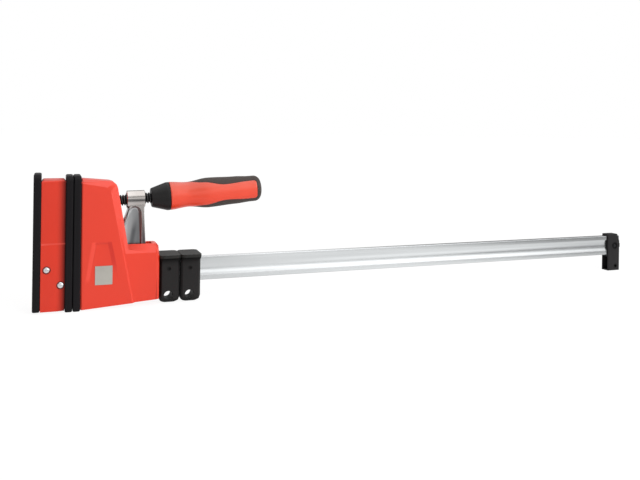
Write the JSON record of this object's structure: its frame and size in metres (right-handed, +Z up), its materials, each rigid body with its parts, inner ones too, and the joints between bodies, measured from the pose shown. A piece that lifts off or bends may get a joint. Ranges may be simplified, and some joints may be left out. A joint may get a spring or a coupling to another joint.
{
  "type": "parallel clamp",
  "caption": "Parallel bar clamp: riveted fixed jaw, sliding jaw with slide arm, threaded spindle and handle, loose rail supports and an end foot on a profiled rail.",
  "frame": {"origin": "on the surface that the clamp stands on, under the middle of its overall length", "axes": "+X along the rail from the fixed jaw towards the rail's free end, +Y across the rail, +Z up from the feet of the caps towards the jaws' tops"},
  "size_m": [0.853, 0.043, 0.1576],
  "materials": {
    "zinc_plated_rail": "zinc plated, satin, fine drawing lines along the rail",
    "bright_casting": "bright zinc plated casting",
    "blackened_steel": "black oxide, lightly oiled",
    "plain_steel": "plain turned steel",
    "red_moulding": "moulded, fine satin texture",
    "black_moulding": "moulded, fine texture",
    "soft_black_grip": "soft touch, matte",
    "guide_plastic": "natural slippery plastic"
  },
  "bodies": {
    "rail": {"rail": "zinc_plated_rail", "fixed_jaw_core": "bright_casting", "fixed_jaw_housing": "red_moulding", "jaw_rivet_upper": "plain_steel", "jaw_rivet_lower": "plain_steel", "outer_pressure_cap": "black_moulding", "fixed_pressure_cap": "black_moulding", "rail_end_foot": "black_moulding", "foot_lock_pin": "blackened_steel"},
    "sliding_jaw": {"sliding_jaw_housing": "red_moulding", "sliding_jaw_core": "bright_casting", "sliding_pressure_cap": "black_moulding", "thrust_socket": "plain_steel", "front_rail_guide": "guide_plastic", "rear_rail_guide": "guide_plastic", "brake_shoe": "guide_plastic", "brake_spring": "plain_steel"},
    "slide_arm": {"slide_arm": "bright_casting", "spindle_nut": "plain_steel", "upper_bite_plate": "blackened_steel", "lower_bite_plate": "blackened_steel"},
    "spindle": {"spindle": "blackened_steel", "thrust_pad": "plain_steel", "handle_ferrule": "black_moulding", "handle_grip_core": "red_moulding", "handle_soft_grip": "soft_black_grip"},
    "front_support": {"front_rail_support": "black_moulding"},
    "rear_support": {"rear_rail_support": "black_moulding"}
  },
  "joints": [
    {"name": "jaw_slide", "type": "slide", "parent": "rail", "child": "sliding_jaw", "axis": [1, 0, 0], "range_m": [0, 0.6]},
    {"name": "spindle_turn", "type": "hinge", "parent": "sliding_jaw", "child": "spindle", "pos_m": [-0.3126, 0, 0.1258], "axis": [-0.9973, 0, -0.0732], "range_deg": [-840, 600]},
    {"name": "arm_feed", "type": "slide", "parent": "sliding_jaw", "child": "slide_arm", "axis": [0.9973, 0, 0.0732], "range_m": [-0.0071, 0.0051]},
    {"name": "front_support_slide", "type": "slide", "parent": "sliding_jaw", "child": "front_support", "axis": [1, 0, 0], "range_m": [0, 0.018]},
    {"name": "rear_support_slide", "type": "slide", "parent": "front_support", "child": "rear_support", "axis": [1, 0, 0], "range_m": [0, 0.018]}
  ],
  "couplings": [
    {"joint": "arm_feed", "follows": "spindle_turn", "m_per_rad": 0.00047746}
  ]
}
